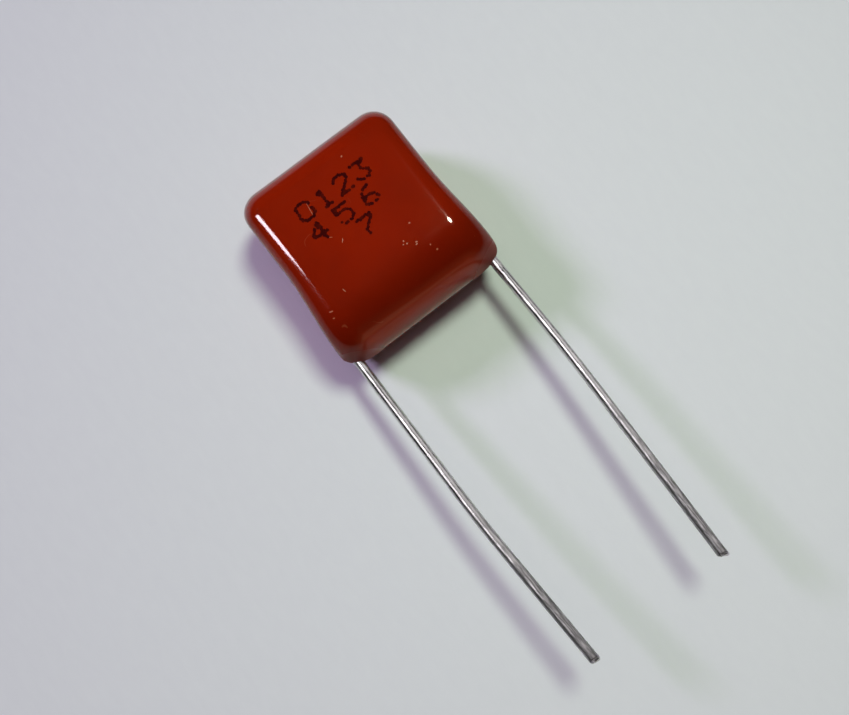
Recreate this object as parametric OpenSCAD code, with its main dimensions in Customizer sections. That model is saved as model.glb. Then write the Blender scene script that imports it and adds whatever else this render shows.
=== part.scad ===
// Radial film capacitor: a flattened roll of metallised film with sprayed metal
// ends, two welded wire leads and a dipped epoxy coat. It lies on its face.
// X runs across the leads, the leads point to -Y, and +Z is up.
// The origin is the centre of the flat underside. Lengths are in millimetres.

/* [Film winding] */
// Height of the flattened roll, along the leads
winding_h = 10.4; // [8:0.1:14]
// Thickness of the flattened roll
winding_t = 5; // [3.5:0.1:8]

/* [End sprays] */
// Thickness of the sprayed metal on each end of the roll
spray_t = 0.4; // [0.2:0.05:0.8]
// How far the sprayed metal stands back from the roll's edge
spray_setback = 0.2; // [0.05:0.05:0.5]

/* [Leads] */
// Distance between the two lead axes
lead_pitch = 10; // [7.5:0.5:15]
// Diameter of the lead wire
wire_d = 0.6; // [0.4:0.05:0.9]
// Length of each lead outside the coat
lead_free = 20.7; // [17:0.1:30]
// Length of each lead inside the coat, welded along the sprayed metal
weld_length = 3.2; // [2:0.1:6]
// How deep the welded wire sinks into the sprayed metal
weld_sink = 0.15; // [0.05:0.01:0.2]
// Straight length of lead outside the coat before it rises
exit_run = 0.2; // [0.1:0.05:1]
// Angle by which the leads rise from there
lift_angle = 6; // [1:0.5:15]
// Bend radius of that rise, at the wire's centre
lift_radius = 3; // [1.5:0.5:10]

/* [Left lead] */
// Straight run before the left lead turns inward
left_run = 8.9; // [2:0.1:10]
// Angle by which the left lead turns inward
left_turn = 2.55; // [0.5:0.05:5]
// Bend radius of the left lead's turn
left_radius = 90; // [30:5:150]

/* [Right lead] */
// Straight run before the right lead turns inward
right_run = 2; // [1:0.1:10]
// Angle by which the right lead turns inward
right_turn = 2.6; // [0.5:0.05:5]
// Bend radius of the right lead's turn
right_radius = 170; // [30:5:200]

/* [Epoxy coat] */
// Thickness of the coat over the roll's faces and round ends
coat_wall = 0.7; // [0.4:0.05:1.2]
// Thickness of the coat over the sprayed metal
coat_side = 0.3; // [0.2:0.01:1]
// How far the roll and the leads sit to the right of the coat's middle
core_shift = 0.1; // [0:0.01:0.12]
// Depth of the round end that the leads leave from
lead_end_round = 3.3; // [2:0.1:4.5]
// Depth of the round end opposite the leads
far_end_round = 2; // [1:0.1:4.5]
// Radius of the long edges at each side
side_round = 1.4; // [0.8:0.05:1.6]
// Depth of the two corners opposite the leads
far_corner = 1.1; // [0.4:0.05:1.6]
// How far the swelling over each lead starts before the wire does
swell_lead_in = 3.4; // [2:0.05:4.5]
// Share of that swelling lost at the top and bottom edges
swell_fade = 0.85; // [0:0.05:1]

/* [Coat over the left lead] */
// Thickness of the coat over the outer side of the welded left lead
left_cover = 0.3; // [0.15:0.01:1]
// Length over which the left swelling rises to its full height
left_swell_run = 5; // [3:0.1:7]
// Depth of the corner beside the left lead
left_corner = 1.1; // [0.4:0.05:1.6]

/* [Coat over the right lead] */
// Thickness of the coat over the outer side of the welded right lead
right_cover = 0.39; // [0.15:0.01:1]
// Length over which the right swelling rises to its full height
right_swell_run = 6; // [3:0.1:7]
// Depth of the corner beside the right lead
right_corner = 0.7; // [0.4:0.05:1.6]

/* [Hidden] */
$fn = 64;

// A bend is a hair thicker than the straight wire and reaches a little way over it,
// so that the lengths of one wire join into one solid
bend_over = 0.002;
bend_reach = 0.05;

wire_r = wire_d / 2;
coat_t = winding_t + 2 * coat_wall;
mid_z = coat_t / 2;
// Outer face and inner face of the sprayed metal, from the roll's middle
spray_x = lead_pitch / 2 - wire_r + weld_sink;
roll_x = spray_x - spray_t;
// Half sizes of the coat
half_w = spray_x + coat_side;
half_h = winding_h / 2 + coat_wall;
half_t = coat_t / 2;
swell_base = lead_pitch / 2 + wire_r - half_w;
weld_top = weld_length - half_h;

// ---- Epoxy coat: a lofted skin ----
// Steps along each round end, each flat and each side edge, and rings on a side face
end_steps = 18;
flat_steps = 10;
edge_steps = 12;
face_rings = 4;

// One point of the coat's section: [y, z, outward normal y, outward normal z].
// A round end is half an ellipse, depth by half_t, on the side that dir gives,
// and a is the turn of its outward normal.
function end_point(dir, depth, a) =
    let (reach = norm([depth * cos(a), half_t * sin(a)]))
    [dir * (half_h - depth + depth * depth * cos(a) / reach),
     mid_z + half_t * half_t * sin(a) / reach, dir * cos(a), sin(a)];

function end_arc(dir, depth, from, to) =
    [for (i = [0 : end_steps]) end_point(dir, depth, from + (to - from) * i / end_steps)];

// The flats between the round ends, without the points that the ends already give
function flat_line(y0, y1, z, nz) =
    [for (i = [1 : flat_steps - 1]) [y0 + (y1 - y0) * i / flat_steps, z, 0, nz]];

far_y = half_h - far_end_round;
near_y = lead_end_round - half_h;
section = concat(
    end_arc(1, far_end_round, -90, 90),
    flat_line(far_y, near_y, coat_t, 1),
    end_arc(-1, lead_end_round, 90, -90),
    flat_line(near_y, far_y, 0, -1));
section_n = len(section);

// Swelling of the side at height z and place y: smooth along the wire, fading to the edges
function smooth(u) = let (v = min(max(u, 0), 1)) v * v * (3 - 2 * v);
function swell(side, y, z) =
    (swell_base + (side > 0 ? right_cover : left_cover))
    * smooth((weld_top + swell_lead_in - y) / (side > 0 ? right_swell_run : left_swell_run))
    * (1 - swell_fade * pow((z - mid_z) / half_t, 2));

// The section at turn a of the side edge, 0 at the flat and 90 at the side face,
// drawn in towards the middle of the side face by the share "keep"
function skin_point(p, side, a, keep) =
    let (corner = p[2] > 0 ? far_corner : side > 0 ? right_corner : left_corner,
         y = keep * (p[0] - p[2] * corner * (1 - cos(a))),
         z = mid_z + keep * (p[1] - mid_z - p[3] * side_round * (1 - cos(a))))
    [side * (half_w - side_round + (side_round + swell(side, y, z)) * sin(a)), y, z];

function ring(side, a, keep) = [for (p = section) skin_point(p, side, a, keep)];

// Rings from the left face over the section to the right face
skin_rings = concat(
    [for (k = [1 : face_rings]) ring(-1, 90, k / (face_rings + 1))],
    [for (k = [edge_steps : -1 : 0]) ring(-1, 90 * k / edge_steps, 1)],
    [for (k = [0 : edge_steps]) ring(1, 90 * k / edge_steps, 1)],
    [for (k = [face_rings : -1 : 1]) ring(1, 90, k / (face_rings + 1))]);
ring_n = len(skin_rings);

function skin_index(r, i) = r * section_n + (i % section_n);

module coat_skin() {
    middle = ring_n * section_n;
    points = concat([for (r = skin_rings) for (p = r) p],
                    [for (side = [-1, 1]) [side * (half_w + swell(side, 0, mid_z)), 0, mid_z]]);
    walls = [for (r = [0 : ring_n - 2]) for (i = [0 : section_n - 1])
        [skin_index(r, i), skin_index(r, i + 1), skin_index(r + 1, i + 1), skin_index(r + 1, i)]];
    left = [for (i = [0 : section_n - 1]) [middle, skin_index(0, i + 1), skin_index(0, i)]];
    right = [for (i = [0 : section_n - 1])
        [middle + 1, skin_index(ring_n - 1, i), skin_index(ring_n - 1, i + 1)]];
    polyhedron(points, concat(walls, left, right));
}

// ---- Roll and sprayed ends ----
// A prism along X whose section is a flattened round, from x0 to x1
module flat_round(x0, x1, h, t) {
    translate([core_shift + x0, 0, mid_z]) rotate([90, 0, 90]) linear_extrude(x1 - x0) {
        square([h - t, t], center = true);
        for (side = [-1, 1]) translate([side * (h - t) / 2, 0]) circle(d = t);
    }
}

module winding_form() flat_round(-roll_x, roll_x, winding_h, winding_t);

module spray_form(side) {
    inner = side > 0 ? roll_x : -spray_x;
    flat_round(inner, inner + spray_t, winding_h - 2 * spray_setback, winding_t - 2 * spray_setback);
}

// ---- Leads ----
// A straight length of wire along +Z; children carry on from its end
module wire_run(length) {
    cylinder(h = length, r = wire_r);
    translate([0, 0, length]) children();
}

// A bend of the wire towards +X turned by heading; children carry on from its end
module wire_bend(radius, angle, heading) {
    reach = bend_reach / radius * 180 / PI;
    rotate([0, 0, heading]) {
        translate([radius, 0, 0]) rotate([90, 0, 0]) rotate([0, 0, 180 - angle - reach])
            rotate_extrude(angle = angle + 2 * reach) translate([radius, 0]) circle(wire_r + bend_over);
        translate([radius * (1 - cos(angle)), 0, radius * sin(angle)])
            rotate([0, angle, 0]) rotate([0, 0, -heading]) children();
    }
}

// Places its children on a lead's axis at the wire's inner end, heading out of the coat
module at_lead(side)
    translate([core_shift + side * lead_pitch / 2, weld_top, mid_z]) rotate([90, 0, 0]) children();

module lead_root(side) at_lead(side) wire_run(weld_length + exit_run);

module lead_form(side, run, turn, radius) {
    lift_arc = lift_radius * lift_angle * PI / 180;
    turn_arc = radius * turn * PI / 180;
    at_lead(side) wire_run(weld_length + exit_run)
        wire_bend(lift_radius, lift_angle, 90) wire_run(run)
        wire_bend(radius, turn, side > 0 ? 180 : 0)
        wire_run(lead_free - exit_run - lift_arc - run - turn_arc);
}

// ---- Pieces ----
module epoxy_coating() {
    color([0.48, 0.1, 0.03]) difference() {
        coat_skin();
        winding_form();
        for (side = [-1, 1]) {
            spray_form(side);
            lead_root(side);
        }
    }
}

module film_winding() {
    color([0.8, 0.8, 0.76]) winding_form();
}

module end_spray(side) {
    color([0.55, 0.56, 0.58]) difference() {
        spray_form(side);
        lead_root(side);
    }
}

module left_end_spray() end_spray(-1);
module right_end_spray() end_spray(1);

module left_lead() {
    color([0.72, 0.73, 0.75]) lead_form(-1, left_run, left_turn, left_radius);
}

module right_lead() {
    color([0.72, 0.73, 0.75]) lead_form(1, right_run, right_turn, right_radius);
}

epoxy_coating();
film_winding();
left_end_spray();
right_end_spray();
left_lead();
right_lead();
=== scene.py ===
"""Finish and stage for a radial film capacitor, laid out as an add-on and run as a script."""

import math

import bpy
import numpy as np
from bpy.props import FloatProperty, FloatVectorProperty, PointerProperty, StringProperty
from mathutils import Matrix, Vector


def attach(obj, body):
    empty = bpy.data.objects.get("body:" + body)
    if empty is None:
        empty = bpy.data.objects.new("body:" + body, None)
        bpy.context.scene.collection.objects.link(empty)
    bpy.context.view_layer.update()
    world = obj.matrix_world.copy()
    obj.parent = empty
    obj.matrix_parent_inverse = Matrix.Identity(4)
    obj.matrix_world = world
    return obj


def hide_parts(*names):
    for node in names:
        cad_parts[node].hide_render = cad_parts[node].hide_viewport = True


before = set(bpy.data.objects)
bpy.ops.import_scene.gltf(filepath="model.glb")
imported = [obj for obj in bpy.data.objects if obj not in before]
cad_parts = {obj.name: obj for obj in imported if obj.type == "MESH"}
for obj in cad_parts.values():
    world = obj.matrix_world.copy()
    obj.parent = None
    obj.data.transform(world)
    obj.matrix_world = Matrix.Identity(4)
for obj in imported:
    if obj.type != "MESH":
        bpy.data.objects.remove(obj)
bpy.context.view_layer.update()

bl_info = {
    "name": "Film capacitor finish",
    "version": (1, 0, 0),
    "blender": (4, 5, 0),
    "location": "View3D > Sidebar > Capacitor",
    "description": "Dresses a radial film capacitor and its stage",
    "category": "Object",
}

MM = 0.001
# Width in pixels of the frame that the focal length is given for
FRAME_WIDTH = 849
# Width of the camera's sensor, in millimetres, as Blender counts it
SENSOR_WIDTH = 36.0
# Colour of the backdrop, as the camera sees it
BACKDROP = (0.62, 0.63, 0.65)
# Half the side of the square floor, and how far the floor lies under the capacitor, in metres
FLOOR_HALF, FLOOR_GAP = 3.0, 0.01 * MM
# Collections that the mirrored lamps are linked to
ON_COAT, ON_LEADS = "seen_on_coat", "seen_on_leads"


# ---------------------------------------------------------------- settings

def length(name, description, default, low=0.0, high=1.0):
    """A distance property; default, low and high are in millimetres."""
    return FloatProperty(name=name, description=description, default=default * MM, min=low * MM,
                         max=high * MM, subtype="DISTANCE", unit="LENGTH", precision=6)


def share(name, description, default, low=0.0, high=1.0):
    """A plain number, by default between 0 and 1."""
    return FloatProperty(name=name, description=description, default=default, min=low, max=high,
                         subtype="FACTOR" if high <= 1.0 else "NONE")


def angle(name, description, default):
    """An angle property; default is in degrees."""
    return FloatProperty(name=name, description=description, default=math.radians(default),
                         subtype="ANGLE", unit="ROTATION")


def colour(name, description, default):
    """A linear colour property."""
    return FloatVectorProperty(name=name, description=description, default=default, size=3,
                               subtype="COLOR", min=0.0, max=1.0)


def digits(name, description, default):
    """A row of digits as text."""
    return StringProperty(name=name, description=description, default=default)


class CoatSettings(bpy.types.PropertyGroup):
    """Sizes and finish of the dipped coat."""
    half_width: length("Half width", "Middle to the side face, above the swelling", 5.15, 3, 10)
    half_height: length("Half height", "Middle to either round end", 5.9, 3, 10)
    half_thickness: length("Half thickness", "Middle to the flat face", 3.2, 1, 6)
    far_end: length("Far end", "Depth of the round end opposite the leads", 2.0, 0.5, 5)
    lead_end: length("Lead end", "Depth of the round end that the leads leave", 3.3, 0.5, 5)
    side_round: length("Side rounding", "Radius of the long edges", 1.4, 0.3, 3)
    far_corner: length("Far corners", "Depth of the corners opposite the leads", 1.1, 0.1, 3)
    left_corner: length("Left corner", "Depth of the corner beside the left lead", 1.1, 0.1, 3)
    right_corner: length("Right corner", "Depth of the corner beside the right lead", 0.7, 0.1, 3)
    left_swell: length("Left swelling", "Height of the swelling over the left lead", 0.45, 0, 2)
    right_swell: length("Right swelling", "Height of the swelling over the right lead", 0.54, 0, 2)
    swell_start: length("Swelling start", "Where the swellings start, from the middle", 0.7, -5, 5)
    left_swell_run: length("Left swelling run", "Length over which the left one rises", 5.0, 1, 10)
    right_swell_run: length("Right swelling run", "Length over which the right one rises",
                            6.0, 1, 10)
    swell_fade: share("Swelling fade", "Share of the swelling lost at the flat faces", 0.85)
    wave: length("Waviness", "Depth of the slow waves left by dipping", 0.02, 0, 0.2)
    collar: length("Collar", "How far the epoxy creeps along each lead", 0.03, 0, 0.5)
    collar_run: length("Collar run", "Depth of the lead end over which it creeps", 0.9, 0.1, 3)
    red: colour("Red", "Main colour of the epoxy", (0.225, 0.0098, 0.0008))
    # Brown is also the painted shade on the upper face toward the leads' end, where it bends down
    brown: colour("Brown", "Colour of the darker, thicker patches", (0.145, 0.0062, 0.0006))
    # Painted light: a paler colour painted on the face that the leads leave, a painted reflection
    # of the floor
    painted_end_light: colour("Veil", "Colour of the face that the leads leave", (0.31, 0.025, 0.007))
    # The dust colour also paints two glints on the left edge, painted highlights
    dust: colour("Dust", "Colour of the specks of dust", (0.42, 0.12, 0.06))
    gloss: share("Roughness", "Roughness of the glossy skin", 0.085)


class LeadSettings(bpy.types.PropertyGroup):
    """Route and finish of the two wires."""
    radius: length("Wire radius", "Half the wire's diameter", 0.3, 0.1, 1)
    pitch: length("Pitch", "Distance between the two wires at the coat", 10.0, 2, 30)
    shift: length("Shift", "How far both wires sit to the right of the coat's middle", 0.1, 0, 1)
    inside: length("Inside", "Length of wire inside the coat", 3.2, 1, 8)
    outside: length("Outside", "Length of wire outside the coat", 20.7, 5, 40)
    exit_run: length("Exit run", "Straight wire before it rises", 0.2, 0, 2)
    lift: angle("Rise", "Angle by which the wires rise", 6.0)
    lift_radius: length("Rise radius", "Bend radius of the rise", 3.0, 1, 20)
    left_run: length("Left run", "Straight wire before the left one turns inward", 8.9, 0, 20)
    left_turn: angle("Left turn", "Angle by which the left wire turns inward", 2.55)
    left_radius: length("Left bend", "Radius of the left wire's turn", 90.0, 10, 400)
    right_run: length("Right run", "Straight wire before the right one turns inward", 2.0, 0, 20)
    right_turn: angle("Right turn", "Angle by which the right wire turns inward", 2.6)
    right_radius: length("Right bend", "Radius of the right wire's turn", 170.0, 10, 400)
    pinch: length("Pinch", "Length of the tip squeezed by the cutter", 0.42, 0.05, 2)
    tin: colour("Tin", "Colour of bright tin", (0.68, 0.66, 0.66))
    grey: colour("Grey", "Colour of dull tin", (0.22, 0.215, 0.215))


class MarkSettings(bpy.types.PropertyGroup):
    """The plain numbers stamped on the upper face."""
    top_row: digits("Top row", "Plain digits of the first row", "0123")
    middle_row: digits("Middle row", "Plain digits of the second row", "456")
    bottom_row: digits("Bottom row", "Plain digits of the third row", "7")
    dot: length("Dot radius", "Radius of one dot of ink", 0.104, 0.02, 0.5)
    stray: length("Stray", "How far a dot strays from its place", 0.018, 0, 0.2)
    missing: share("Missing", "Share of the dots that didn't print", 0.12)
    height: length("Digit height", "Height of a digit between its outer dots", 1.02, 0.3, 5)
    width: length("Digit width", "Width of a digit between its outer dots", 0.82, 0.2, 5)
    ink: colour("Ink", "Colour of the ink on the epoxy", (0.034, 0.0024, 0.0022))


class StageSettings(bpy.types.PropertyGroup):
    """Floor, lights and camera."""
    paper: colour("Paper", "Colour of the floor", (0.613, 0.622, 0.657))
    tilt: angle("Camera tilt", "Camera's lean from straight down", 5.0683)
    yaw: angle("Camera yaw", "Camera's turn about the vertical", 34.0511)
    roll: angle("Camera roll", "Camera's turn about its own axis", 3.609)
    eye: FloatVectorProperty(name="Camera place", description="Where the camera stands",
                             default=(-3.6295 * MM, -10.6458 * MM, 42.2673 * MM), size=3,
                             subtype="TRANSLATION", unit="LENGTH", precision=6)
    focal: FloatProperty(name="Focal length", description="Focal length in pixels of the frame",
                         default=667.0, min=50.0, max=5000.0)


# ---------------------------------------------------------------- shader maths

# Places of a colour Mix node's sockets
MIX_FACTOR, MIX_A, MIX_B, MIX_OUT = 0, 6, 7, 2


class Wire:
    """A socket in a node tree. Python's operators on it add Math nodes, and node() any other.

    One without a socket only adds nodes to its tree.
    """

    def __init__(self, tree, socket=None):
        self.tree = tree
        self.socket = socket

    def node(self, kind, settings=None, inputs=None, output=0):
        """Adds one node: its settings are set first, then the values or links of its sockets.

        Output is the name or number of the socket that the new Wire stands for.
        """
        made = self.tree.nodes.new(kind)
        for key, value in (settings or {}).items():
            setattr(made, key, value)
        for key, value in (inputs or {}).items():
            if isinstance(value, Wire):
                self.tree.links.new(value.socket, made.inputs[key])
            else:
                made.inputs[key].default_value = value
        return Wire(self.tree, made.outputs[output]) if made.outputs else None

    def __add__(self, other):
        return math_node("ADD", self, other)

    def __sub__(self, other):
        return math_node("SUBTRACT", self, other)

    def __rsub__(self, other):
        return math_node("SUBTRACT", other, self)

    def __mul__(self, other):
        return math_node("MULTIPLY", self, other)

    def __truediv__(self, other):
        return math_node("DIVIDE", self, other)

    def __rtruediv__(self, other):
        return math_node("DIVIDE", other, self)

    def __pow__(self, other):
        return math_node("POWER", self, other)

    def __rpow__(self, other):
        return math_node("POWER", other, self)

    def __abs__(self):
        return math_node("ABSOLUTE", self)

    __radd__ = __add__
    __rmul__ = __mul__

    def clamp(self):
        """The value held between 0 and 1."""
        return self.node("ShaderNodeClamp", None, {"Value": self})

    def step(self, low, high):
        """A smooth step: 0 below low, 1 above high. Low may be above high, to fall instead."""
        return self.node("ShaderNodeMapRange", {"interpolation_type": "SMOOTHSTEP"},
                         {"Value": self, "From Min": low, "From Max": high})

    def mix(self, low, high):
        """The colour low where this mask is 0, and high where it is 1."""
        tones = [tone if isinstance(tone, Wire) else (*tone, 1.0) for tone in (low, high)]
        return self.node("ShaderNodeMix", {"data_type": "RGBA"},
                         {MIX_FACTOR: self, MIX_A: tones[0], MIX_B: tones[1]}, output=MIX_OUT)

    def parts(self):
        """The x, y and z of a vector."""
        return [self.node("ShaderNodeSeparateXYZ", None, {"Vector": self}, output=axis)
                for axis in "XYZ"]


def math_node(operation, *values):
    """A Math node on these values, in order. At least one of them is a Wire."""
    wire = next(value for value in values if isinstance(value, Wire))
    return wire.node("ShaderNodeMath", {"operation": operation}, dict(enumerate(values)))


def new_material(name):
    """A new material, the Wire that adds nodes to it, and its object coordinates in millimetres."""
    material = bpy.data.materials.new(name)
    material.use_nodes = True
    material.node_tree.nodes.clear()
    maker = Wire(material.node_tree)
    metres = maker.node("ShaderNodeTexCoord", output="Object")
    place = maker.node("ShaderNodeVectorMath", {"operation": "SCALE"},
                       {"Vector": metres, "Scale": 1 / MM})
    return material, maker, place


def finish_material(material, maker, inputs):
    """Closes a material with one Principled shader fed by these inputs."""
    skin = maker.node("ShaderNodeBsdfPrincipled", None, inputs)
    maker.node("ShaderNodeOutputMaterial", None, {"Surface": skin})
    return material


def noise(place, scale, detail=2.0, rough=0.5, stretch=None):
    """Noise between 0 and 1; scale is in cells per millimetre, and stretch scales each axis."""
    if stretch:
        place = place.node("ShaderNodeMapping", None, {"Vector": place, "Scale": stretch})
    return place.node("ShaderNodeTexNoise", None,
                      {"Vector": place, "Scale": scale, "Detail": detail, "Roughness": rough})


def specks(place, scale, size):
    """Mask of scattered round specks, one for each cell, up to size millimetres in radius."""
    gap = place.node("ShaderNodeTexVoronoi", None, {"Vector": place, "Scale": scale})
    return gap.step(size * scale, size * scale * 0.4)


def hairlines(place, scale, width, offset):
    """Mask of short curved hairlines: where one noise crosses its middle, cut short by another."""
    moved = place.node("ShaderNodeVectorMath", {"operation": "ADD"},
                       {0: place, 1: (offset, offset * 0.7, offset * 1.3)})
    line = abs(noise(moved, scale, 0.0) - 0.5).step(width, width * 0.3)
    return line * noise(moved, scale * 2.5, 0.0).step(0.66, 0.72)


def fleck(place, centre, reach, slant):
    """Mask of one fleck on the upper face: 1 inside an ellipse about centre, soft at its rim.

    Its half-axes are reach[0] and reach[1], in millimetres, and the first is turned by slant
    degrees from x. It is so deep that the height of a point doesn't count.
    """
    depth = 1000.0
    turned = place.node("ShaderNodeMapping", {"vector_type": "TEXTURE"}, {
        "Vector": place, "Location": (*centre, 0), "Rotation": (0, 0, math.radians(slant)),
        "Scale": (*reach, depth)})
    away = turned.node("ShaderNodeVectorMath", {"operation": "LENGTH"}, {0: turned},
                       output="Value")
    return away.step(1.3, 0.7)


def bump(maker, height, distance, strength=1.0):
    """A Bump node: height 0 to 1 stands for distance millimetres."""
    return maker.node("ShaderNodeBump", None,
                      {"Strength": strength, "Distance": distance * MM, "Height": height})


# ---------------------------------------------------------------- surfaces

def smooth(u):
    """Smooth step from 0 to 1: three u squared less two u cubed, with u held between 0 and 1."""
    v = np.clip(u, 0.0, 1.0)
    return v * v * (3.0 - 2.0 * v)


def add_mesh(name, points, faces, material):
    """A new object at the origin with this mesh and material, smooth all over."""
    mesh = bpy.data.meshes.new(name)
    mesh.from_pydata(points.reshape(-1, 3), [], faces)
    mesh.polygons.foreach_set("use_smooth", np.ones(len(mesh.polygons), bool))
    mesh.update()
    mesh.materials.append(material)
    piece = bpy.data.objects.new(name, mesh)
    bpy.context.scene.collection.objects.link(piece)
    return piece


def grid_faces(rows, columns):
    """Quads of a grid of points stored row by row, each row closed on itself."""
    row, column = np.meshgrid(np.arange(rows - 1), np.arange(columns), indexing="ij")
    after = (column + 1) % columns
    a, b = row * columns + column, row * columns + after
    return np.stack([a, b, b + columns, a + columns], -1).reshape(-1, 4)


def fan_faces(centre, first, columns, flip):
    """Triangles from one centre point to a closed row of points that starts at first."""
    column = np.arange(columns)
    a, b = first + column, first + (column + 1) % columns
    ends = (b, a) if flip else (a, b)
    return np.stack([np.full(columns, centre), *ends], -1)


def add_tube(name, points, material):
    """A new object from rings of points, each end closed by a fan about the end ring's middle."""
    rows, columns = points.shape[:2]
    total = rows * columns
    middles = np.stack([points[0].mean(0), points[-1].mean(0)])
    faces = [*grid_faces(rows, columns).tolist(),
             *fan_faces(total, 0, columns, True).tolist(),
             *fan_faces(total + 1, total - columns, columns, False).tolist()]
    return add_mesh(name, np.vstack([points.reshape(-1, 3), middles]), faces, material)


def waves(x, y, z):
    """Slow waves between 0 and 1: the mean of sines of x, y and z, in several directions."""
    turns = np.array([[0.9, 0.35, 0.2, 0.4], [-0.5, 1.1, 0.3, 2.1], [0.35, -0.8, 0.9, 4.0],
                      [1.7, 0.9, -0.6, 1.3], [-1.2, 1.9, 0.8, 5.2], [2.6, -1.4, 1.1, 3.3]])
    phase = np.multiply.outer(x / MM, turns[:, 0]) + np.multiply.outer(y / MM, turns[:, 1]) \
        + np.multiply.outer(z / MM, turns[:, 2]) + turns[:, 3]
    weight = np.array([0.3, 0.22, 0.18, 0.12, 0.1, 0.08])
    return 0.5 + 0.5 * (np.sin(phase) * weight).sum(-1)


def skin_sink(c, x, y, z):
    """How far the coat's skin lies under its plain shape at x, y, z: 0.3 to 1.3 of the waves."""
    return c.wave * (0.3 + waves(x, y, z))


def coat_section(c, steps, flats):
    """The coat's outline in the y-z plane: y, z and the outward normal's y and z.

    Each round end is half an ellipse, its depth by the half thickness, read off by the turn of
    its outward normal: the point is depth squared times cosine and half thickness squared times
    sine, over the length of depth times cosine and half thickness times sine. Flats join them.
    """
    def half(direction, depth, turn):
        reach = np.hypot(depth * np.cos(turn), c.half_thickness * np.sin(turn))
        y = direction * (c.half_height - depth + depth ** 2 * np.cos(turn) / reach)
        z = c.half_thickness + c.half_thickness ** 2 * np.sin(turn) / reach
        return np.stack([y, z, direction * np.cos(turn), np.sin(turn)], -1)

    turn = np.linspace(-math.pi / 2, math.pi / 2, steps)
    along = np.linspace(0, 1, flats)[1:-1]
    far, near = c.half_height - c.far_end, c.lead_end - c.half_height
    blank = np.zeros_like(along)
    top = np.stack([far + (near - far) * along, blank + 2 * c.half_thickness, blank, blank + 1], -1)
    under = np.stack([near + (far - near) * along, blank, blank, blank - 1], -1)
    return np.concatenate([half(1, c.far_end, turn), top, half(-1, c.lead_end, turn[::-1]), under])


def coat_rings(edge_steps, face_steps, width_steps):
    """The rings from the left face to the right: side, turn of the edge, share kept, and width.

    On a side face the share kept goes from near 0 to 1 at a turn of 90 degrees, over an edge the
    turn goes from 90 degrees to 0, and across the flats the width goes from -1 to 1.
    """
    keep = np.linspace(0.02, 1, face_steps)
    turn = np.linspace(math.pi / 2, 0, edge_steps)[1:]
    half = np.concatenate([np.stack([keep * 0 + math.pi / 2, keep, keep * 0 + 1], -1),
                           np.stack([turn, turn * 0 + 1, turn * 0 + 1], -1)])
    width = np.linspace(-1, 1, width_steps)[1:-1]
    middle = np.stack([width * 0, width * 0 + 1, width], -1)
    left, right = half * (1, 1, -1), half[::-1]
    side = np.concatenate([np.full(len(left), -1.0), np.sign(width), np.full(len(right), 1.0)])
    rings = np.concatenate([left, middle, right])
    return side, rings[:, 0], rings[:, 1], rings[:, 2]


def coat_points(c, wire, section, rings):
    """The coat's skin as rings of points.

    A ring at turn a of the long edge is the section drawn in along its normal, by the corner's
    depth in y and the side rounding in z times 1 - cos a, and set out in x by the side rounding
    and the swelling times sin a. The swelling is a smooth step along the wire, and fades with the
    square of the height from the middle. Slow waves then sink the skin along its normal, except
    on the face that it rests on. Beside each wire the epoxy creeps out along it, by a share that
    dies away exponentially with the distance from the wire.
    """
    side, turn, keep, width = (value[:, None] for value in rings)
    y0, z0, ny, nz = section.T
    near_corner = np.where(side < 0, c.left_corner, c.right_corner)
    corner = np.where(ny > 0, c.far_corner, near_corner)
    drawn = 1 - np.cos(turn)
    y = keep * (y0 - ny * corner * drawn)
    z = c.half_thickness + keep * (z0 - c.half_thickness - nz * c.side_round * drawn)
    height = (z - c.half_thickness) / c.half_thickness
    run = np.where(side < 0, c.left_swell_run, c.right_swell_run)
    swelling = np.where(side < 0, c.left_swell, c.right_swell) \
        * smooth((c.swell_start - y) / run) * (1 - c.swell_fade * height ** 2)
    x = width * (c.half_width - c.side_round) + side * (c.side_round + swelling) * np.sin(turn)
    points = np.stack(np.broadcast_arrays(x, y, z), -1)

    normal = np.stack(np.broadcast_arrays(
        side * np.sin(turn), ny * np.cos(turn), nz * np.cos(turn)), -1)
    sink = skin_sink(c, points[..., 0], points[..., 1], points[..., 2])
    sink = sink * smooth((normal[..., 2] + 0.9) / 0.5)
    points = points - normal * sink[..., None]

    off = np.abs(points[..., 0] - wire.shift) - wire.pitch / 2
    reach = np.hypot(off, points[..., 2] - c.half_thickness) - wire.radius
    creep = c.collar * np.exp(-np.clip(reach, 0, None) / wire.radius)
    points[..., 1] -= creep * smooth(1 - (c.half_height + points[..., 1]) / c.collar_run)
    return points


def wire_route(w, side, steps):
    """Centre line of a lead: points, headings, and length run from its inner end.

    The heading starts along -y. It rises at a steady rate over the first bend and turns inward at
    a steady rate over the second, and the centre line is the running sum of the heading.
    """
    run, turn, radius = ((w.left_run, w.left_turn, w.left_radius) if side < 0
                         else (w.right_run, w.right_turn, w.right_radius))
    start = w.inside + w.exit_run
    lift_end = start + w.lift_radius * w.lift
    turn_start = lift_end + run
    turn_end = turn_start + radius * turn
    full = w.inside + w.outside
    s = np.linspace(0, full, steps)
    rise = w.lift * np.clip((s - start) / (lift_end - start), 0, 1)
    inward = turn * np.clip((s - turn_start) / (turn_end - turn_start), 0, 1)
    heading = np.stack([-side * np.sin(inward), -np.cos(inward) * np.cos(rise),
                        np.cos(inward) * np.sin(rise)], -1)
    middle = (heading[1:] + heading[:-1]) / 2
    centre = np.vstack([np.zeros(3), np.cumsum(middle * (s[1] - s[0]), axis=0)])
    return centre, heading, s


# The cut tips of the left and the right lead: how far the cut leans, as a share of the sideways
# distance; how deep the cutter dipped, as a share of the height; and where, as a share of the pinch
CUTS = {-1: (0.18, 0.34, 0.50), 1: (0.42, 0.26, 0.42)}


def bell(u, width):
    """Bell curve: the exponential of minus the square of u over width."""
    return np.exp(-(u / width) ** 2)


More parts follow.
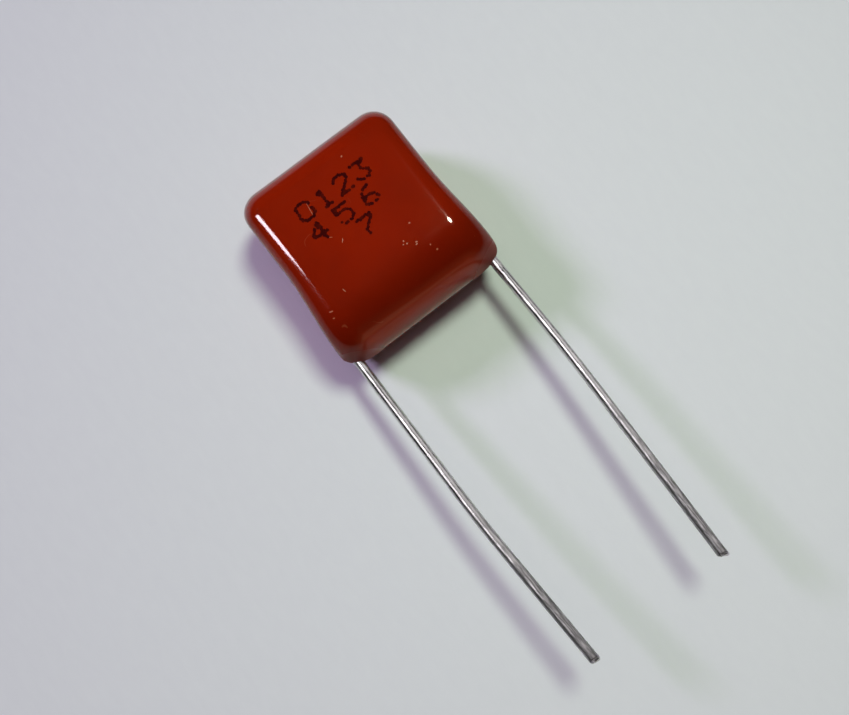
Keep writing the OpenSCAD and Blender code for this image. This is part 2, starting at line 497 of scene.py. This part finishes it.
def wire_tube(w, coat, side, around):
    """Points of a lead's skin, ring by ring, and how far along the lead each ring is, as a share.

    Each ring is a circle across the heading. Over the pinched tip its height is the wire's times
    1 less a bell curve, where the cutter dipped, and less a smooth step that rounds the lip off.
    Its width swells by a bell curve and narrows by a smooth step, and the rings shear along the
    heading by the sideways distance, as the cut leans.
    """
    centre, heading, s = wire_route(w, side, steps=2000)
    origin = np.array([w.shift + side * w.pitch / 2, w.inside - coat.half_height,
                       coat.half_thickness])
    full = s[-1]
    lean, dip, dip_place = CUTS[side]
    tip = np.linspace(1, 0, 40) ** 1.2
    stations = np.concatenate([np.linspace(0, full - w.pinch, 280)[:-1], full - w.pinch * tip])
    middle = np.stack([np.interp(stations, s, centre[:, axis]) for axis in range(3)], -1) + origin
    ahead = np.stack([np.interp(stations, s, heading[:, axis]) for axis in range(3)], -1)
    across = np.cross((0, 0, 1), ahead)
    across /= np.linalg.norm(across, axis=-1, keepdims=True)
    up = np.cross(ahead, across)

    t = np.clip((stations - (full - w.pinch)) / w.pinch, 0, 1)
    squeeze = 1 - dip * bell(t - dip_place, 0.2) - 0.55 * smooth((t - 0.72) / 0.28)
    narrow = 1 - 0.10 * smooth((t - 0.8) / 0.2) + 0.04 * bell(t - 0.55, 0.25)
    turn = np.linspace(0, 2 * math.pi, around, endpoint=False) - math.pi / 2
    sideways = w.radius * np.cos(turn)[None, :] * narrow[:, None]
    upward = w.radius * np.sin(turn)[None, :] * squeeze[:, None]
    shear = (sideways - w.radius) * lean * smooth(t)[:, None]
    points = middle[:, None] + across[:, None] * sideways[..., None] \
        + up[:, None] * upward[..., None] + ahead[:, None] * shear[..., None]
    return points, stations / full


# Each digit's seven rows of five dots, top row first; a row's dots are the bits of a number
DIGITS = {
    "0": (14, 17, 17, 17, 17, 17, 14), "1": (4, 12, 4, 4, 4, 4, 14), "2": (14, 17, 1, 2, 4, 8, 31),
    "3": (31, 2, 4, 2, 1, 17, 14), "4": (2, 6, 10, 18, 31, 2, 2), "5": (31, 16, 30, 1, 1, 17, 14),
    "6": (6, 8, 16, 30, 17, 17, 14), "7": (31, 1, 2, 4, 8, 8, 8), "8": (14, 17, 17, 14, 17, 17, 14),
    "9": (14, 17, 17, 15, 1, 2, 12),
}


def digit_dots(digit, centre, m):
    """Centres of a digit's dots about its own centre, from the bits of its seven rows.

    Half way between two neighbouring dots lies one more, which joins them into a stroke.
    """
    bits = (np.array(DIGITS[digit])[:, None] >> np.arange(4, -1, -1)) & 1
    spots = np.argwhere(bits)
    first, second = np.triu_indices(len(spots), 1)
    near = np.abs(spots[first] - spots[second]).max(-1) == 1
    spots = np.vstack([spots, (spots[first] + spots[second])[near] / 2])
    row, column = spots.T
    return np.stack([centre[0] + (column / 4 - 0.5) * m.width,
                     centre[1] + (0.5 - row / 6) * m.height], -1)


# Points in each of a dot's two rings, and in the whole dot
RING = 12
DOT_POINTS = 1 + 2 * RING


def ink_points(c, m, dots, rng):
    """A low dome for each dot of ink, laid on the upper face: a middle point and two rings.

    The inner ring is 0.88 of the way out and nearly as high as the middle, and the outer one is
    sunk into the epoxy. A dot's size and each of its points' distance from the middle vary.
    """
    turn = np.linspace(0, 2 * math.pi, RING, endpoint=False)
    share_out = np.concatenate([[0], np.full(RING, 0.88), np.full(RING, 1.0)])
    angle_out = np.concatenate([[0], turn, turn])
    lift = np.concatenate([[0.002], np.full(RING, 0.0019), np.full(RING, -0.003)]) * MM
    wobble = 1 + 0.10 * rng.standard_normal((len(dots), DOT_POINTS))
    reach = m.dot * (0.86 + 0.22 * rng.random((len(dots), 1))) * wobble
    x = dots[:, :1] + reach * share_out * np.cos(angle_out)
    y = dots[:, 1:] + reach * share_out * np.sin(angle_out)
    z = 2 * c.half_thickness - skin_sink(c, x, y, 0 * x + 2 * c.half_thickness) + lift
    return np.stack([x, y, z], -1)


def ink_faces(total):
    """Faces of so many dots: a fan from the middle to the inner ring, and quads to the outer."""
    ring = np.arange(RING)
    after = (ring + 1) % RING
    cap = np.stack([ring * 0, 1 + ring, 1 + after], -1)
    rim = np.stack([1 + ring, 1 + RING + ring, 1 + RING + after, 1 + after], -1)
    first = DOT_POINTS * np.arange(total)[:, None, None]
    return [*(cap + first).reshape(-1, 3).tolist(), *(rim + first).reshape(-1, 4).tolist()]


# ---------------------------------------------------------------- materials

# Dust and small scratches on the upper face, and two painted highlights on the left edge (at x
# -4.34 and -4.45): place and half-axes in millimetres, slant in degrees
FLECKS_AND_GLINTS = (((1.35, 3.69), (0.06, 0.04), 30), ((2.03, -1.61), (0.05, 0.04), 0),
          ((1.15, -2.23), (0.05, 0.035), 60), ((1.69, -2.69), (0.06, 0.035), -20),
          ((2.38, -3.68), (0.06, 0.05), 10), ((-1.47, -0.14), (0.14, 0.018), 50),
          ((-1.89, 0.40), (0.12, 0.018), -35), ((-1.85, 2.35), (0.42, 0.014), 82),
          # The next two are painted highlights: glints of a lamp's reflection on the left edge
          ((-4.34, -2.90), (0.11, 0.04), -20), ((-4.45, -3.26), (0.07, 0.03), -20),
          ((1.22, -2.45), (0.05, 0.03), 40), ((1.02, -2.38), (0.04, 0.03), 0),
          ((1.62, -2.80), (0.06, 0.03), 20), ((2.22, -3.27), (0.05, 0.03), 70),
          ((-3.07, -2.42), (0.13, 0.018), -80), ((3.72, -5.80), (0.03, 0.10), 0))


def epoxy_material(c, w):
    """Glossy red-brown epoxy: slow patches of thicker coat, faint mottling, dust and hairlines.

    Above, it is painted darker toward the leads: painted shade where the upper face bends down. The
    end that the leads leave is painted paler between them, a painted reflection of the floor and
    painted light, and is duller within 0.6 to 2.4 millimetres of each. Two of the flecks are
    painted glints on the left edge.
    """
    material, maker, place = new_material("dipped_epoxy")
    patches = noise(place, 0.22, 2.0).step(0.35, 0.7)
    mottle = noise(place, 1.3, 3.0)
    dust = specks(place, 0.9, 0.028) * noise(place, 0.5, 0.0).step(0.5, 0.6)
    marks = dust + hairlines(place, 0.42, 0.003, 3.0) * 0.3
    # The flecks add dust marks and two painted glints on the left edge
    for centre, reach, slant in FLECKS_AND_GLINTS:
        marks = marks + fleck(place, centre, reach, slant)
    marks = marks.clamp()
    across, along, upward = place.parts()
    # Painted shade: the upper face is painted darker toward the leads' end, where it bends down
    painted_bend_shade = along.step(-1.0, -4.2) * upward.step(4.2, 5.4)
    off = abs(across - w.shift / MM) - w.pitch / 2 / MM
    level = upward - c.half_thickness / MM
    creep = ((off * off + level * level) ** 0.5).step(2.4, 0.6) * along.step(-4.4, -5.3)
    # Painted reflection and painted light: the face that the leads leave is painted paler between
    # the leads
    painted_end_light = along.step(-4.5, -5.5) * abs(across).step(4.9, 3.4)
    # Random patches and mottling, and the painted shade toward the leads' end, move the red toward
    # brown
    tone = (patches * 0.4 + mottle * 0.25 + painted_bend_shade * 0.8).clamp().mix(c.red, c.brown)
    tone = (marks * 0.7).mix(painted_end_light.mix(tone, c.painted_end_light), c.dust)
    rough = noise(place, 0.8, 2.0) * 0.06 + (c.gloss - 0.03) + marks * 0.3 + creep * 0.5
    peel = noise(place, 1.5, 1.0) * 0.75 + noise(place, 6.0, 1.0) * 0.25
    return finish_material(material, maker, {
        "Base Color": tone, "Roughness": rough, "IOR": 1.33,
        "Specular Tint": (1.0, 0.85, 0.65, 1.0),
        "Normal": bump(maker, peel + marks * 0.5, 0.006, 0.5)})


def tin_material(w):
    """Tinned wire: duller toward the tip, with fine drawing lines along it and a fresh cut.

    The lines are noise read off a circle around the wire by its share of length, drawn out.
    """
    material, maker, place = new_material("tinned_wire")
    around, along, _ = maker.node("ShaderNodeUVMap", {"uv_map": "along"}).parts()
    turn = around * (2 * math.pi)
    circle = maker.node("ShaderNodeCombineXYZ", None, {
        "X": math_node("COSINE", turn), "Y": math_node("SINE", turn), "Z": along})
    lines = noise(circle, 3.2, 3.0, 0.7, (1.0, 1.0, 9.0)).step(0.35, 0.65)
    patches = noise(place, 0.5, 3.0)
    dull = (along + patches * 0.35 - 0.17).step(0.35, 0.95) * 0.8 + noise(place, 3.0, 2.0) * 0.2
    fresh = along.step(0.990, 0.996)
    tone = (dull * 0.35 + lines * (dull * 0.9 + 0.15) - fresh * 0.8).clamp().mix(w.tin, w.grey)
    rough = (dull * 0.26 + 0.16 + lines * 0.10 - fresh * 0.2).clamp()
    grain = lines * 0.6 + noise(place, 9.0, 2.0) * 0.4
    return finish_material(material, maker, {
        "Base Color": tone, "Metallic": 1.0, "Roughness": rough,
        "Normal": bump(maker, grain, 0.012, 0.35)})


def ink_material(m):
    """Dark stamping ink, thinner in places."""
    material, maker, place = new_material("stamping_ink")
    thin = noise(place, 2.2, 3.0).step(0.42, 0.72)
    return finish_material(material, maker, {
        "Base Color": (thin * 0.7).mix(m.ink, (0.085, 0.005, 0.002)),
        "Roughness": thin * 0.12 + 0.5, "Specular IOR Level": 0.0,
        "Normal": bump(maker, noise(place, 14.0, 2.0), 0.002, 0.4)})


def film_material(c):
    """The roll's side and edge: thin layers of metallised film that follow the flattened round.

    A layer's depth is the distance from the middle line of the roll's flat part, and its tone
    goes up and down with it.
    """
    half_flat, layer = 2.7, 0.06
    material, maker, place = new_material("metallised_film")
    _, along, upward = place.parts()
    past_flat = math_node("MAXIMUM", abs(along) - half_flat, 0.0)
    height = upward - c.half_thickness / MM
    depth = (past_flat * past_flat + height * height) ** 0.5
    layers = math_node("PINGPONG", depth, layer) / layer
    blur = noise(place, 0.9, 3.0, 0.5, (4.0, 1.0, 1.0))
    return finish_material(material, maker, {
        "Base Color": (layers * 0.5 + blur * 0.5).mix((0.62, 0.62, 0.60), (0.36, 0.36, 0.35)),
        "Metallic": 0.7, "Roughness": blur * 0.2 + 0.25,
        "Normal": bump(maker, layers * 0.5 + blur, 0.01, 0.4)})


def zinc_material():
    """Sprayed metal: matt grey droplets, frozen in a rough layer."""
    material, maker, place = new_material("sprayed_zinc")
    drops = place.node("ShaderNodeTexVoronoi", None, {"Vector": place, "Scale": 9.0})
    dust = noise(place, 5.0, 4.0)
    tone = (dust * 0.6 + drops * 0.6).clamp().mix((0.30, 0.31, 0.33), (0.52, 0.53, 0.55))
    return finish_material(material, maker, {
        "Base Color": tone, "Metallic": 0.6, "Roughness": dust * 0.25 + 0.5,
        "Normal": bump(maker, drops + dust, 0.05, 0.8)})


def paper_material(p):
    """Plain white paper: a matt surface with a faint fibre grain, and painted light: a slow step in
    its tone, paler toward +x and toward the leads' end.

    Far from the middle the camera sees it fade into the backdrop.
    """
    material, maker, place = new_material("plain_paper")
    across, along, _ = place.parts()
    # Painted light: the paper is painted paler toward +x and toward the leads' end
    painted_light_drift = (across * 0.006 - along * 0.013 + 0.42).clamp()
    fibres = noise(place, 1.6, 4.0, 0.6, (1.0, 0.4, 1.0))
    dark, pale = (tuple(value * lean for value, lean in zip(p.paper, leans))
                  for leans in ((0.92, 0.905, 0.93), (1.085, 1.085, 1.06)))
    tone = (painted_light_drift + (fibres - 0.5) * 0.3).mix(dark, pale)
    sheet = maker.node("ShaderNodeBsdfPrincipled", None, {
        "Base Color": tone, "Roughness": 0.9, "Specular IOR Level": 0.2,
        "Normal": bump(maker, fibres, 0.03, 0.25)})
    away = (across * across + along * along) ** 0.5
    far = away.step(50.0, 150.0) * maker.node("ShaderNodeLightPath", output="Is Camera Ray")
    glow = maker.node("ShaderNodeEmission", None, {"Color": (*BACKDROP, 1.0), "Strength": 1.0})
    both = maker.node("ShaderNodeMixShader", None, {0: far, 1: sheet, 2: glow})
    maker.node("ShaderNodeOutputMaterial", None, {"Surface": both})
    return material


# ---------------------------------------------------------------- operators

class CAPACITOR_OT_coat(bpy.types.Operator):
    """Makes the dipped epoxy coat's smooth skin"""
    bl_idname = "capacitor.coat"
    bl_label = "Epoxy coat"

    def execute(self, context):
        coat, wire = context.scene.capacitor_coat, context.scene.capacitor_wire
        section = coat_section(coat, steps=141, flats=61)
        rings = coat_rings(edge_steps=41, face_steps=17, width_steps=35)
        skin = add_tube("coat_skin", coat_points(coat, wire, section, rings),
                        epoxy_material(coat, wire))
        bpy.data.collections[ON_COAT].objects.link(skin)
        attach(skin, "root")
        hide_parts("epoxy_coating")
        return {"FINISHED"}


class CAPACITOR_OT_leads(bpy.types.Operator):
    """Makes the two tinned leads with their cut tips"""
    bl_idname = "capacitor.leads"
    bl_label = "Leads"

    def execute(self, context):
        coat, wire = context.scene.capacitor_coat, context.scene.capacitor_wire
        tin = tin_material(wire)
        for side, name in ((-1, "left"), (1, "right")):
            points, along = wire_tube(wire, coat, side, around=48)
            lead = add_tube(name + "_wire", points, tin)
            self.map_lengths(lead.data, *points.shape[:2], along)
            bpy.data.collections[ON_LEADS].objects.link(lead)
            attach(lead, "root")
            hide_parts(name + "_lead")
        return {"FINISHED"}

    def map_lengths(self, mesh, rows, columns, along):
        """Lays the map "along" on a lead: turn around the wire, and share of its length.

        A face whose corners lie on both sides of the seam has the low ones raised by a turn.
        """
        corner = np.empty(len(mesh.loops), np.int64)
        mesh.loops.foreach_get("vertex_index", corner)
        share_around = np.append(np.tile(np.arange(columns) / columns, rows), [0, 0])
        share_along = np.append(np.repeat(along, columns), [0, 1])
        flat = np.stack([share_around[corner], share_along[corner]], -1)
        start = np.empty(len(mesh.polygons), np.int64)
        total = np.empty(len(mesh.polygons), np.int64)
        mesh.polygons.foreach_get("loop_start", start)
        mesh.polygons.foreach_get("loop_total", total)
        face = np.repeat(np.arange(len(start)), total)
        far = np.maximum.reduceat(flat[:, 0], start)[face]
        flat[:, 0] += (far - flat[:, 0] > 0.5)
        mesh.uv_layers.new(name="along").data.foreach_set("uv", flat.ravel())


class CAPACITOR_OT_marks(bpy.types.Operator):
    """Stamps rows of plain numbers on the upper face, dot by dot"""
    bl_idname = "capacitor.marks"
    bl_label = "Stamped numbers"

    def execute(self, context):
        coat, marks = context.scene.capacitor_coat, context.scene.capacitor_marks
        rng = np.random.default_rng(7)
        # Each row's digits, the x of the first, the distance between two, and y, in millimetres
        rows = ((marks.top_row, -2.10, 1.27, 2.42), (marks.middle_row, -2.20, 1.72, 1.02),
                (marks.bottom_row, 0.20, 1.27, -0.30))
        dots = np.concatenate([
            digit_dots(digit, ((first + pitch * place) * MM, level * MM), marks)
            for text, first, pitch, level in rows for place, digit in enumerate(text)])
        dots = dots[rng.random(len(dots)) > marks.missing]
        dots = dots + rng.normal(0, marks.stray, dots.shape)
        ink = add_mesh("stamped_numbers", ink_points(coat, marks, dots, rng),
                       ink_faces(len(dots)), ink_material(marks))
        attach(ink, "root")
        return {"FINISHED"}


class CAPACITOR_OT_core(bpy.types.Operator):
    """Finishes the roll and its sprayed ends, which keep their own shape"""
    bl_idname = "capacitor.core"
    bl_label = "Roll and sprayed ends"

    def execute(self, context):
        zinc = zinc_material()
        film = film_material(context.scene.capacitor_coat)
        for node, material in (("film_winding", film), ("left_end_spray", zinc),
                               ("right_end_spray", zinc)):
            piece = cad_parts[node]
            for slot in piece.material_slots:
                slot.material = material
        return {"FINISHED"}


# The lamps. The three that name no collection light matt surfaces: two near and tinted ones that
# throw the shadows, and a wide one above. The others are seen only as reflections.
LAMPS = (
    {"name": "key_lamp", "place": (25.5, 9.5, 80.0), "size": (21.0, 21.0), "level": 0.57,
     "tint": (0.96, 1.17, 0.88), "even": True},
    {"name": "side_lamp", "place": (-76.0, 106.0, 100.0), "size": (38.0, 38.0), "level": 0.28,
     "tint": (1.0, 0.78, 1.22), "even": True},
    {"name": "ceiling_lamp", "place": (-30.0, 90.0, 500.0), "size": (360.0, 360.0),
     "level": 0.12, "tint": (1.09, 0.91, 1.02)},
    {"name": "window", "place": (-585.0, 288.0, 476.0), "size": (88.0, 320.0), "level": 0.32,
     "tint": (1.0, 0.98, 1.38), "mirrored_on": ON_COAT},
    {"name": "pale_ceiling", "place": (-282.0, 90.0, 742.0), "size": (460.0, 460.0),
     "level": 0.25, "tint": (1.0, 0.97, 1.0), "mirrored_on": ON_LEADS},
    {"name": "dim_wall", "place": (450.0, -150.0, 520.0), "size": (900.0, 900.0), "level": 0.27,
     "tint": (1.0, 0.97, 0.97), "mirrored_on": ON_LEADS},
    {"name": "spot", "place": (310.0, 66.0, 742.0), "size": (160.0, 160.0), "level": 1.30,
     "tint": (1.0, 1.0, 1.0), "mirrored_on": ON_COAT},
)
# Where the lamps face, in millimetres
LAMP_AIM = (0, -12, 0)


class CAPACITOR_OT_stage(bpy.types.Operator):
    """Lays the paper floor and sets the lamps, the surroundings and the camera"""
    bl_idname = "capacitor.stage"
    bl_label = "Stage"

    def execute(self, context):
        stage = context.scene.capacitor_stage
        self.floor(stage)
        for settings in LAMPS:
            self.lamp(**settings)
        self.surroundings(context.scene)
        self.camera(context.scene, stage)
        context.scene.view_settings.view_transform = "Standard"
        return {"FINISHED"}

    def floor(self, stage):
        """A wide square sheet just under the capacitor."""
        signs = np.array([[-1, -1], [1, -1], [1, 1], [-1, 1]])
        corners = np.column_stack([signs * FLOOR_HALF, np.full(4, -FLOOR_GAP)])
        add_mesh("paper_floor", corners, [(0, 1, 2, 3)], paper_material(stage))

    def lamp(self, name, place, size, level, tint, mirrored_on=None, even=False):
        """An oval area lamp at this place, facing the aim; place and size in millimetres.

        Level is the light that it would put on the floor at its aim, as a share of the light at
        which a colour renders as it is written: pi times level is radiance by solid angle by the
        sine of the height. A lamp with a mirrored_on collection is seen only as a reflection in
        that collection's pieces; any other lights matt surfaces, and isn't reflected. An even
        lamp is as strong far away as at its aim.
        """
        away = (Vector(place) - Vector(LAMP_AIM)) * MM
        area = math.pi / 4 * size[0] * size[1] * MM ** 2
        radiance = math.pi * level * away.length ** 3 / (area * away.z)
        light = bpy.data.lights.new(name, "AREA")
        light.shape = "ELLIPSE"
        light.size, light.size_y = (value * MM for value in size)
        light.energy = radiance * math.pi * area
        light.color = tint
        if even:
            light.use_nodes = True
            light.node_tree.nodes.clear()
            maker = Wire(light.node_tree)
            power = maker.node("ShaderNodeLightFalloff", None, {"Strength": away.length ** -2},
                               output="Constant")
            glow = maker.node("ShaderNodeEmission", None, {"Strength": power})
            maker.node("ShaderNodeOutputLight", None, {"Surface": glow})
        holder = bpy.data.objects.new(name, light)
        holder.matrix_world = Matrix.Translation(Vector(place) * MM) \
            @ away.to_track_quat("Z", "Y").to_matrix().to_4x4()
        holder.visible_camera = False
        holder.visible_glossy = mirrored_on is not None
        holder.visible_diffuse = mirrored_on is None
        if mirrored_on:
            holder.light_linking.receiver_collection = \
                bpy.data.collections.get(mirrored_on) or bpy.data.collections.new(mirrored_on)
        bpy.context.scene.collection.objects.link(holder)

    def surroundings(self, scene):
        """A dim room that the camera sees as a pale backdrop.

        Reflections see a dark room with a wall at the leads' end: bright up to a low edge, dim
        up to a higher one, and dark above. Both edges drop to either side.
        """
        world = bpy.data.worlds.new("soft_room")
        world.use_nodes = True
        world.node_tree.nodes.clear()
        maker = Wire(world.node_tree)
        seen = maker.node("ShaderNodeLightPath", output="Is Camera Ray")
        mirrored = maker.node("ShaderNodeLightPath", output="Is Glossy Ray")
        across, along, height = maker.node("ShaderNodeTexCoord", output="Generated").parts()
        front = along.step(-0.3, -0.6)
        hill = height + abs(across) * 1.2
        wall = (hill.step(0.62, 0.54) * 0.18 + hill.step(0.30, 0.25) * 0.82) * front
        room = wall.mix((0.02, 0.02, 0.02), (0.80, 0.62, 0.46))
        tone = seen.mix(mirrored.mix((0.024, 0.018, 0.014), room), BACKDROP)
        glow = maker.node("ShaderNodeBackground", None, {"Color": tone, "Strength": 1.0})
        maker.node("ShaderNodeOutputWorld", None, {"Surface": glow})
        scene.world = world

    def camera(self, scene, stage):
        """Looks down at the capacitor. Tilt leans the view, yaw turns it and roll spins it."""
        flat_up = Vector((math.sin(stage.yaw), math.cos(stage.yaw), 0))
        flat_right = Vector((math.cos(stage.yaw), -math.sin(stage.yaw), 0))
        ahead = Vector((0, 0, -1)) * math.cos(stage.tilt) + flat_up * math.sin(stage.tilt)
        down = ahead.cross(flat_right)
        right = flat_right * math.cos(stage.roll) + down * math.sin(stage.roll)
        down = down * math.cos(stage.roll) - flat_right * math.sin(stage.roll)
        data = bpy.data.cameras.new("camera")
        data.sensor_width = SENSOR_WIDTH
        data.lens = stage.focal * SENSOR_WIDTH / FRAME_WIDTH
        data.clip_start = 1 * MM
        data.clip_end = 20.0
        camera = bpy.data.objects.new("camera", data)
        turn = Matrix((right, -down, -ahead)).transposed().to_4x4()
        camera.matrix_world = Matrix.Translation(Vector(stage.eye)) @ turn
        scene.collection.objects.link(camera)
        scene.camera = camera


class CAPACITOR_PT_panel(bpy.types.Panel):
    """Lists the pieces and their settings"""
    bl_label = "Capacitor"
    bl_space_type = "VIEW_3D"
    bl_region_type = "UI"
    bl_category = "Capacitor"

    def draw(self, context):
        for label, group, operators in SECTIONS:
            box = self.layout.box()
            box.label(text=label)
            settings = getattr(context.scene, group)
            for name in settings.bl_rna.properties.keys():
                if name not in ("rna_type", "name"):
                    box.prop(settings, name)
            for operator in operators:
                box.operator(operator)


SECTIONS = (
    ("Coat", "capacitor_coat", ("capacitor.coat", "capacitor.core")),
    ("Leads", "capacitor_wire", ("capacitor.leads",)),
    ("Numbers", "capacitor_marks", ("capacitor.marks",)),
    ("Stage", "capacitor_stage", ("capacitor.stage",)),
)
GROUPS = (("capacitor_coat", CoatSettings), ("capacitor_wire", LeadSettings),
          ("capacitor_marks", MarkSettings), ("capacitor_stage", StageSettings))
CLASSES = (CoatSettings, LeadSettings, MarkSettings, StageSettings, CAPACITOR_OT_coat,
           CAPACITOR_OT_leads, CAPACITOR_OT_marks, CAPACITOR_OT_core, CAPACITOR_OT_stage,
           CAPACITOR_PT_panel)


def register():
    """Registers the classes and hangs the settings on the scene."""
    for kind in CLASSES:
        bpy.utils.register_class(kind)
    for name, group in GROUPS:
        setattr(bpy.types.Scene, name, PointerProperty(type=group))


def unregister():
    """Takes the settings and the classes away again."""
    for name, _ in GROUPS:
        delattr(bpy.types.Scene, name)
    for kind in reversed(CLASSES):
        bpy.utils.unregister_class(kind)


def main():
    """Builds everything in order."""
    register()
    bpy.ops.capacitor.stage()
    bpy.ops.capacitor.coat()
    bpy.ops.capacitor.leads()
    bpy.ops.capacitor.marks()
    bpy.ops.capacitor.core()


if __name__ == "__main__":
    main()
